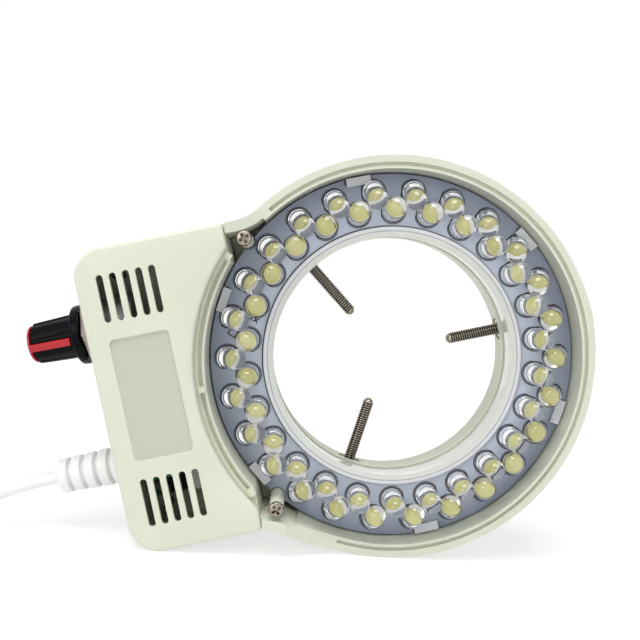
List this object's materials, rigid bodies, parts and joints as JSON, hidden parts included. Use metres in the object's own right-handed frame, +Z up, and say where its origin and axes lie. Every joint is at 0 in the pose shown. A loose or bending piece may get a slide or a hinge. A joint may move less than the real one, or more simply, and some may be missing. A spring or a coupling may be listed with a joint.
{
  "type": "microscope ring light",
  "caption": "Ring of white LEDs round an open bore for a microscope, with a driver box, dimmer knob, clamping thumb screws and a mains cord.",
  "frame": {"origin": "on the floor, under the middle of the lamp without its cord", "axes": "+Z up, -Y the way the LEDs shine, +X from the driver box towards the ring"},
  "size_m": [0.2332, 0.0372, 0.0956],
  "materials": {
    "ivory_abs": "satin ivory moulding",
    "clear_plastic": "clear polycarbonate",
    "led_board": "pale grey-blue coated board with clear LEDs",
    "plated_steel": "bright nickel plate",
    "brass": "turned",
    "black_plastic": "satin black",
    "red_plastic": "satin red",
    "white_pvc": "soft white",
    "white_plastic": "satin white",
    "green_board": "green coated board",
    "grey_metal": "plain pressed",
    "green_plastic": "matt green",
    "blue_sleeve": "shrunk sleeve",
    "yellow_tape": "tape over a wound core",
    "orange_film": "dipped",
    "glass_tube": "clear tube with plated caps",
    "red_wire": "soft red",
    "black_wire": "soft black",
    "white_wire": "soft white"
  },
  "bodies": {
    "ring_light": {"back_shell": "ivory_abs", "box_lid": "ivory_abs", "bore_collar": "ivory_abs", "clear_carrier": "clear_plastic", "led_board": "led_board", "corner_screw_upper": "plated_steel", "corner_screw_lower": "plated_steel", "driver_screw_1": "plated_steel", "driver_screw_2": "plated_steel", "lid_screw_1": "plated_steel", "lid_screw_2": "plated_steel", "lid_screw_3": "plated_steel", "collar_screw_1": "plated_steel", "collar_screw_2": "plated_steel", "collar_screw_3": "plated_steel", "collar_bush_1": "brass", "collar_bush_2": "brass", "collar_bush_3": "brass", "pot_body": "grey_metal", "pot_nut": "plated_steel", "strain_relief": "white_pvc", "driver_board": "green_board", "terminal_block": "green_plastic", "bridge_rectifier": "black_plastic", "filter_capacitor": "orange_film", "controller_chip": "black_plastic", "output_socket": "white_plastic", "transformer": "yellow_tape", "bulk_capacitor": "blue_sleeve", "fuse": "glass_tube", "led_wire_plus": "red_wire", "led_wire_minus": "black_wire", "pot_wire_1": "white_wire", "pot_wire_2": "red_wire", "pot_wire_3": "black_wire", "power_cord": "white_pvc", "cord_hank": "white_pvc", "cord_tail": "white_pvc", "hank_tie": "black_plastic", "plug_body": "white_plastic", "plug_pin_1": "brass", "plug_pin_2": "brass"},
    "knob": {"knob_body": "black_plastic", "knob_pointer": "red_plastic", "pot_shaft": "plated_steel"},
    "thumb_screw_one": {"thumb_screw_1": "plated_steel"},
    "thumb_screw_two": {"thumb_screw_2": "plated_steel"},
    "thumb_screw_three": {"thumb_screw_3": "plated_steel"}
  },
  "joints": [
    {"name": "knob_turn", "type": "hinge", "parent": "ring_light", "child": "knob", "pos_m": [-0.0513, -0.0037, 0.04847], "axis": [-0.9619, 0, -0.2733], "range_deg": [-150, 150]},
    {"name": "thumb_screw_1_travel", "type": "slide", "parent": "ring_light", "child": "thumb_screw_one", "axis": [-0.9619, 0, -0.2733], "range_m": [-0.0138, 0.006]},
    {"name": "thumb_screw_2_travel", "type": "slide", "parent": "ring_light", "child": "thumb_screw_two", "axis": [0.7176, 0, -0.6964], "range_m": [-0.0165, 0.0034]},
    {"name": "thumb_screw_3_travel", "type": "slide", "parent": "ring_light", "child": "thumb_screw_three", "axis": [0.2443, 0, 0.9697], "range_m": [-0.0165, 0.0032]}
  ]
}
